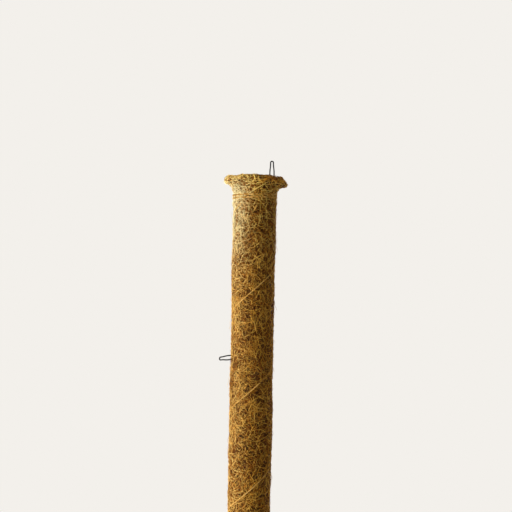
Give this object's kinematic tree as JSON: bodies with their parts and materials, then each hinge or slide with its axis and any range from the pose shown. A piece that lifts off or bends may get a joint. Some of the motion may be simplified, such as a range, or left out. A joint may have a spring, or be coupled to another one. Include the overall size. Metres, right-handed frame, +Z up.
{
  "type": "moss pole",
  "caption": "Climbing pole for house plants: a plastic pipe rolled in coir mat with a flared lip, bound with yarn and thread, with wire hairpins that pull out of the mat.",
  "frame": {"origin": "on the pole's axis at the soil line, level with the lower end of the coir", "axes": "+Z up along the pole, -Y towards the picture's viewer, +X to their right"},
  "size_m": [0.0617, 0.0581, 0.615],
  "materials": {
    "pipe_plastic": "satin",
    "coir": "matte",
    "twine": "matte",
    "dark_wire": "satin"
  },
  "bodies": {
    "pole": {"core_pipe": "pipe_plastic", "coir_inner_wrap": "coir", "coir_outer_wrap": "coir", "neck_lashing": "twine", "spiral_binding": "twine", "foot_lashing": "twine"},
    "top_pin": {"vine_pin_top": "dark_wire"},
    "left_pin": {"vine_pin_left": "dark_wire"}
  },
  "joints": [
    {"name": "top_pin_pull", "type": "slide", "parent": "pole", "child": "top_pin", "axis": [0, 0, 1], "range_m": [0, 0.013]},
    {"name": "left_pin_pull", "type": "slide", "parent": "pole", "child": "left_pin", "axis": [-0.7141, -0.7, 0], "range_m": [0, 0.02]}
  ]
}
